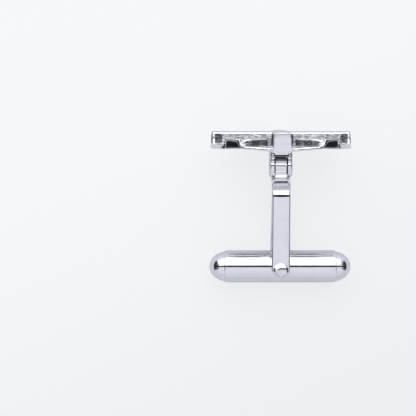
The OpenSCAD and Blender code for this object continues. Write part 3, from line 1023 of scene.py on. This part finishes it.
head_end = LEG_OUT + HEAD_H
rim_angle = math.degrees(math.asin(HEAD_R / DOME_R))
head = [(head_end, AXIS_R)] + arc(head_end - DOME_R, DOME_R, start=2, end=rim_angle, steps=24)
rivet = turn_piece("pivot_rivet_domed", both_ends(head + [(LEG_OUT, HEAD_R), (LEG_OUT, SHANK_R)]), sides=96)
rivet.data.transform(Matrix.Rotation(-QUARTER, 4, "Y"))
press(rivet, filed_head)
seat(rivet, BAR, "arm", ["pivot_rivet"], pin_silver)

# %% [markdown]
# ## The arm
# The arm is a flat strip bent into a U. The solid has the right bends, so its copy only needs its long edges
# eased, by a bevel that leaves the gentle bends alone. Bisect then cuts it into small fields near the bends,
# which gives the next step points to move. Subdivide would do that too, but all over the arm.

# %% Arm strip: eased edges and cuts
BEND_R = 1.6
BEND_AT = Vector((0, -3.92, 1.25))
STRIP_T, CREST_FROM, CREST_START = 0.6, -5, (-6.0, LEG_OUT)
PAST_START, DIGITS = 0.01, 4
ARM_SHARP, RIVET_ROOM = 0.9, 0.7
FIRST_CUT, CUT_STEP, CUTS = -0.2, 0.06, 21
CROSS_CUT_STEP, CROSS_CUTS = 0.24, 4
pivot = ARM.inverted() @ pivot_at
arm = solid_copy("u_arm", "u_arm_strip", ARM)


def on_crest(p):
    """Whether a point of the plain solid is on the outer side of the bends or of the arch between them."""
    return p.y > CREST_FROM and p.z > LEG_OUT - STRIP_T and (p - BEND_AT).yz.length > BEND_R - CLOSE


def long_edge(a, b, turn):
    return abs(turn) > ARM_SHARP and (a - pivot).xy.length > RIVET_ROOM


crest = sorted({(round(v.co.y, DIGITS), round(v.co.z, DIGITS)) for v in arm.data.vertices if on_crest(v.co)})
crest = [CREST_START] + [(y, z) for y, z in crest if y > BEND_AT.y - PAST_START]
round_edges(arm, long_edge, width=0.24, segments=6, clamp=False, profile=0.38)
cuts = [((0, BEND_AT.y + FIRST_CUT + CUT_STEP * step, 0), (0, 1, 0)) for step in range(CUTS)]
cuts += [((CROSS_CUT_STEP * step, 0, 0), (1, 0, 0)) for step in range(-CROSS_CUTS, CROSS_CUTS + 1)]
open_mesh(arm)
for at, facing in cuts:
    bpy.ops.mesh.select_all(action="SELECT")
    bpy.ops.mesh.bisect(plane_co=at, plane_no=facing)
bpy.ops.object.mode_set(mode="OBJECT")
print("arm cut into", len(arm.data.polygons), "faces")

# %% [markdown]
# ## The arm, filed and bent by hand
# A file has left a flat across both bends, which shines as a bright band, and the rear leg leans over a
# little, as bending by hand leaves it. The rule moves each point of a bend from the height of the
# plain bend to that of the filed one, and fades the flat out towards the strip's edges.

# %% Arm strip: the file's flat and the rear leg's lean
FILE_LINE = [(-0.12, LEG_OUT), (0.1, LEG_OUT - 0.014), (0.52, LEG_OUT - 0.096), (0.8, LEG_OUT - 0.2144)]
BLUR_STEP, BLUR_STEPS = 0.03, 3
FILE_BLUR = [BLUR_STEP * k for k in range(-BLUR_STEPS, BLUR_STEPS + 1)]
FILED_FROM, FILED_TO, OUTER_SKIN, SKIN_GROWTH, BEND_INSIDE = -0.15, 1.0, 0.45, 0.3, 0.3
FLAT_FULL, FLAT_LOSS, HALF_STRIP = 0.92, 0.75, 1.25
REAR_LEAN, LEAN_DEPTH = 0.2, (0.5, -2.3)
DULL_FROM = (-3.0, -2.6)
ARM_CREASE = math.radians(35)


def line_height(points, y):
    """Height at y of a line through points that are sorted along y."""
    for (y0, z0), (y1, z1) in zip(points, points[1:]):
        if y <= y1:
            return z0 + (z1 - z0) * (y - y0) / (y1 - y0)
    return points[-1][1]


def filed_height(u, flat):
    """Height of the bend at u past its start, with the file's flat where it faces straight up."""
    round_z = LEG_OUT - BEND_R + math.sqrt(BEND_R ** 2 - max(u, 0) ** 2)
    if not FILE_LINE[0][0] < u < FILE_LINE[-1][0]:
        return round_z
    file_z = sum(line_height(FILE_LINE, u + shift) / len(FILE_BLUR) for shift in FILE_BLUR)
    return round_z + (file_z - round_z) * flat


def filed(p):
    u = p.y - BEND_AT.y
    lean = REAR_LEAN * fade(p.z, *LEAN_DEPTH) * min(max(1 + u / (BEND_AT.y - pivot.y), 0), 1)
    outer = abs(p.z) > LEG_OUT - OUTER_SKIN - SKIN_GROWTH * max(u, 0)
    off_bend = (p - BEND_AT * Vector((0, 1, side(p.z)))).yz.length
    if not (FILED_FROM < u < FILED_TO and outer) or off_bend < BEND_R - BEND_INSIDE:
        return Vector((lean, 0, 0))
    flat = FLAT_FULL - FLAT_LOSS * (p.x / HALF_STRIP) ** 2
    return Vector((lean, 0, (filed_height(u, flat) - line_height(crest, p.y)) * side(p.z)))


press(arm, filed)
point_values(arm, "matte", lambda v: fade(v.co.y, *DULL_FROM))
pick(arm)
bpy.ops.object.shade_smooth_by_angle(angle=ARM_CREASE)
seat(arm, ARM, "arm", ["u_arm"], arm_silver)

# %% [markdown]
# ## The tube of the bar
# The middle of the torpedo bar is a tube whose ends are rounded over by burnishing, so a fine dark seam shows
# beside each cap. Its wall could come from a Solidify modifier, but turned in one path, out along the skin
# and back through the bore, it has its true thickness and clean ends.

# %% Bar tube
BAR_R = 2.18
BORE_R = 1.73
TUBE_HALF = 7.59
SHOULDER_LEN, SHOULDER_DROP, SHOULDER_LIP = 0.55, 0.17, 0.05
TURN_STEP, TURN_STEPS = 8, 12
turns = [math.radians(TURN_STEP * step) for step in range(TURN_STEPS)]
shoulder = [(TUBE_HALF - SHOULDER_LEN * (1 - math.cos(a)), BAR_R - SHOULDER_DROP * (1 - math.sin(a)))
            for a in turns]
tube_end = [(TUBE_HALF, BORE_R), (TUBE_HALF, BAR_R - SHOULDER_DROP - SHOULDER_LIP)]
tube_end += shoulder + [(TUBE_HALF - SHOULDER_LEN, BAR_R)]
tube = turn_piece("bar_tube_turned", both_ends(tube_end) + tube_end[:1])
seat(tube, BAR, "bar", ["bar_tube"], bar_silver)

# %% [markdown]
# ## The caps
# Each cap is a thin dome on a short skirt, with a spigot that is pressed into the tube. A half ball would be
# nearly right, but the real dome meets the tube at a slight angle. So its outline is a stretched arc that
# stops at 80 degrees, and only its inside is a plain half ball.

# %% Caps and the springs' steel
CAP_R = 2.0
CAP_TURN = 80
CAP_LENGTH = 1.98
CAP_SEAM, CAP_LIP = 0.02, 0.03
CAP_SKIRT = 0.1
SPIGOT_R, SPIGOT_IN, SPIGOT_LEN = 1.72, 1.47, 0.8
CAVITY_R = 1.53
CAP_BACK = math.cos(math.radians(CAP_TURN))
dome = [(TUBE_HALF + CAP_SEAM + (x - CAP_BACK) * CAP_LENGTH / (1 - CAP_BACK),
         r * CAP_R / math.sin(math.radians(CAP_TURN))) for x, r in arc(0, 1, start=0, end=CAP_TURN, steps=28)]
spigot = [(TUBE_HALF, CAP_R - CAP_LIP), (TUBE_HALF, SPIGOT_R), (TUBE_HALF - SPIGOT_LEN, SPIGOT_R),
          (TUBE_HALF - SPIGOT_LEN, SPIGOT_IN), (TUBE_HALF + CAP_SKIRT, SPIGOT_IN)]
cavity = arc(TUBE_HALF + CAP_SKIRT, CAVITY_R, start=90, end=0, steps=16)
for name, node in (("end_cap_domed_right", "end_cap_right"), ("end_cap_domed_left", "end_cap_left")):
    cap = turn_piece(name, dome + spigot + cavity)
    if node == "end_cap_left":
        cap.data.transform(Matrix.Rotation(math.pi, 4, "Z"))
    seat(cap, BAR, "bar", [node], bar_silver)

for node in ("leaf_spring_upper", "leaf_spring_lower"):
    frame["nodes"][node].data.materials.clear()
    frame["nodes"][node].data.materials.append(spring_steel)

# %% [markdown]
# ## The table
# The cufflink lies on pale paper that keeps its soft shadow. Lit paper alone would turn grey in places, so
# most of what the camera sees of it is a plain glow that runs from grey-white to white, and metal sees a
# darker one, as it would on a small sheet in a larger room.

# %% Table
TABLE_SIZE = 3.0
PAPER_GLOW, PAPER_DIM = 0.85, 0.5
PAPER_GREY, PAPER_WHITE = (0.80, 0.815, 0.84), (0.90, 0.915, 0.93)
GLOW_GREY, GLOW_WHITE = (0.86, 0.875, 0.90), (0.92, 0.93, 0.945)
PAPER_IN_METAL = (0.42, 0.43, 0.47, 1)
PAPER_ROUGH, PAPER_SHINE = 0.9, 0.1
WHITER_SLANT, WHITER_FROM = 0.5, (-0.045, 0.03)

clear_bench()
bpy.ops.mesh.primitive_plane_add(size=TABLE_SIZE, location=(0, 0, 0))
table = bpy.context.object
table.name = "table"


def glowing(tree, colour):
    node = add_node(tree, "Emission")
    feed(tree, colour, node.inputs["Color"])
    return node.outputs["Emission"]


def blended(tree, share, first, second):
    node = add_node(tree, "MixShader")
    for index, value in enumerate((share, first, second)):
        feed(tree, value, node.inputs[index])
    return node.outputs["Shader"]


def table_paper():
    material = bpy.data.materials.new("table_paper")
    material.use_nodes = True
    tree = material.node_tree
    shader = tree.nodes["Principled BSDF"]
    shader.inputs["Roughness"].default_value = PAPER_ROUGH
    shader.inputs["Specular IOR Level"].default_value = PAPER_SHINE
    split = add_node(tree, "SeparateXYZ")
    feed(tree, add_node(tree, "TexCoord").outputs["Object"], split.inputs[0])
    across = math_node(tree, "MULTIPLY", split.outputs["X"], WHITER_SLANT)
    slope = math_node(tree, "SUBTRACT", split.outputs["Y"], across)
    whiter = span(tree, slope, *WHITER_FROM)
    feed(tree, mix_colour(tree, whiter, PAPER_GREY, PAPER_WHITE), shader.inputs["Base Color"])
    glow = glowing(tree, mix_colour(tree, whiter, GLOW_GREY, GLOW_WHITE))
    seen = add_node(tree, "LightPath").outputs
    by_camera = math_node(tree, "MULTIPLY", seen["Is Camera Ray"], PAPER_GLOW)
    by_metal = math_node(tree, "MULTIPLY", seen["Is Glossy Ray"], PAPER_DIM)
    paper = blended(tree, by_camera, shader.outputs["BSDF"], glow)
    paper = blended(tree, by_metal, paper, glowing(tree, PAPER_IN_METAL))
    feed(tree, paper, tree.nodes["Material Output"].inputs["Surface"])
    return material


table.data.materials.append(table_paper())
print("table of", TABLE_SIZE, "m")

# %% [markdown]
# ## The room
# Polished silver shows nothing but its room, so the room is the real paint here. It could be a studio of real
# cards and walls, but the world's colour by direction does the same: a lilac-grey card all round, a thin dark
# gap where the camera looks in, and ragged dark ends, which show as the dark stars in the caps.

# %% Room
LILAC = (0.78, 0.80, 0.86)
LILAC_LOW = (0.60, 0.62, 0.68)
SHADE = (0.035, 0.036, 0.042)
ROOM_SEEN = (0.86, 0.875, 0.89)
GAP, GAP_AT_ENDS, GAP_WIDENS, GAP_EDGE = 0.11, 0.275, (0.82, 0.96), (-0.02, 0.02)
RAGGEDNESS, DARK_FROM, DARK_BETWEEN = 0.9, (1.22, 1.27), ((-0.5, -0.3), (0.7, 0.5))
LILAC_FALL = (-1.9, -0.1)

world = bpy.data.worlds.new("studio_room")
bpy.context.scene.world = world
world.use_nodes = True
room = world.node_tree
backdrop = room.nodes["Background"]
direction = add_node(room, "TexCoord").outputs["Generated"]
split = add_node(room, "SeparateXYZ")
feed(room, direction, split.inputs[0])
forward = split.outputs["Y"]
sweep = math_node(room, "ARCTAN2", forward, split.outputs["Z"])
aside = math_node(room, "ABSOLUTE", split.outputs["X"])

gap_width = span(room, aside, *GAP_WIDENS, GAP, GAP_AT_ENDS)
gap = math_node(room, "SUBTRACT", gap_width, math_node(room, "ABSOLUTE", sweep))
in_gap = span(room, gap, *GAP_EDGE)
ragged = noise(room, direction, scale=6.0, rough=0.75)
far = math_node(room, "MULTIPLY_ADD", ragged, RAGGEDNESS, aside)
at_end = span(room, far, *DARK_FROM)
for low, high in DARK_BETWEEN:
    at_end = math_node(room, "MULTIPLY", at_end, span(room, forward, low, high))
dark = math_node(room, "MAXIMUM", in_gap, at_end)
card = mix_colour(room, span(room, sweep, *LILAC_FALL), LILAC_LOW, LILAC)
shaded = mix_colour(room, dark, card, SHADE)
by_camera = add_node(room, "LightPath").outputs["Is Camera Ray"]
feed(room, mix_colour(room, by_camera, shaded, ROOM_SEEN), backdrop.inputs["Color"])
backdrop.inputs["Strength"].default_value = 1.0
print("room:", len(room.nodes), "nodes")

# %% [markdown]
# ## The softbox
# One broad lamp stands above and behind the face and draws the white bands along the bar and the bends. A
# point or a sun would make a hard glint instead. Its size follows from the two angles that it fills.

# %% Softbox
def softbox(name, sweep_low, sweep_high, width, distance, strength, drift):
    """A lamp that fills the sweep between two angles, counted from straight up towards the face."""
    middle = (sweep_low + sweep_high) / 2
    height = 2 * distance * math.tan((sweep_high - sweep_low) / 2)
    light = bpy.data.lights.new(name, "AREA")
    light.shape = "RECTANGLE"
    light.size = width
    light.size_y = height
    light.energy = strength * math.pi * width * height
    lamp = bpy.data.objects.new(name, light)
    bpy.context.scene.collection.objects.link(lamp)
    lamp.location = (drift, distance * math.sin(middle), distance * math.cos(middle))
    lamp.rotation_euler = (-middle, 0, 0)
    print(name, "of", width, "by", round(height, 3), "m")


softbox("softbox", sweep_low=math.radians(9), sweep_high=math.radians(64), width=0.7, distance=0.35,
        strength=1.25, drift=-0.06)

# %% [markdown]
# ## The camera
# A long lens looks almost straight down, as in a product photo: a short one would splay the face and the bar.
# It stands a little to the left of what it aims at, so a sliver of the rear leg shows.

# %% Camera
FRAME_WIDTH = 56.4 * MM
DISTANCE = 0.5
AIM_X, EYE_X, AIM_Y, AIM_Z = -9.8 * MM, -21.8 * MM, -0.3 * MM, 4 * MM
SENSOR = 36.0
NEAREST, FARTHEST = 0.01, 10.0
centre_y = (cad_box[0].y + cad_box[1].y) / 2 + AIM_Y
aim = Vector((AIM_X, centre_y, AIM_Z))
eye = Vector((EYE_X, centre_y, AIM_Z + DISTANCE))
lens = bpy.data.cameras.new("camera")
lens.sensor_width = SENSOR
lens.lens = SENSOR * DISTANCE / FRAME_WIDTH
lens.clip_start = NEAREST
lens.clip_end = FARTHEST
camera = bpy.data.objects.new("camera", lens)
bpy.context.scene.collection.objects.link(camera)
camera.location = eye
back = (eye - aim).normalized()
right = Vector((0, 1, 0)).cross(back).normalized()
camera.rotation_euler = Matrix((right, back.cross(right), back)).transposed().to_euler()
bpy.context.scene.camera = camera
bpy.context.scene.view_settings.view_transform = "Standard"
print("lens", round(lens.lens), "mm at", DISTANCE, "m")
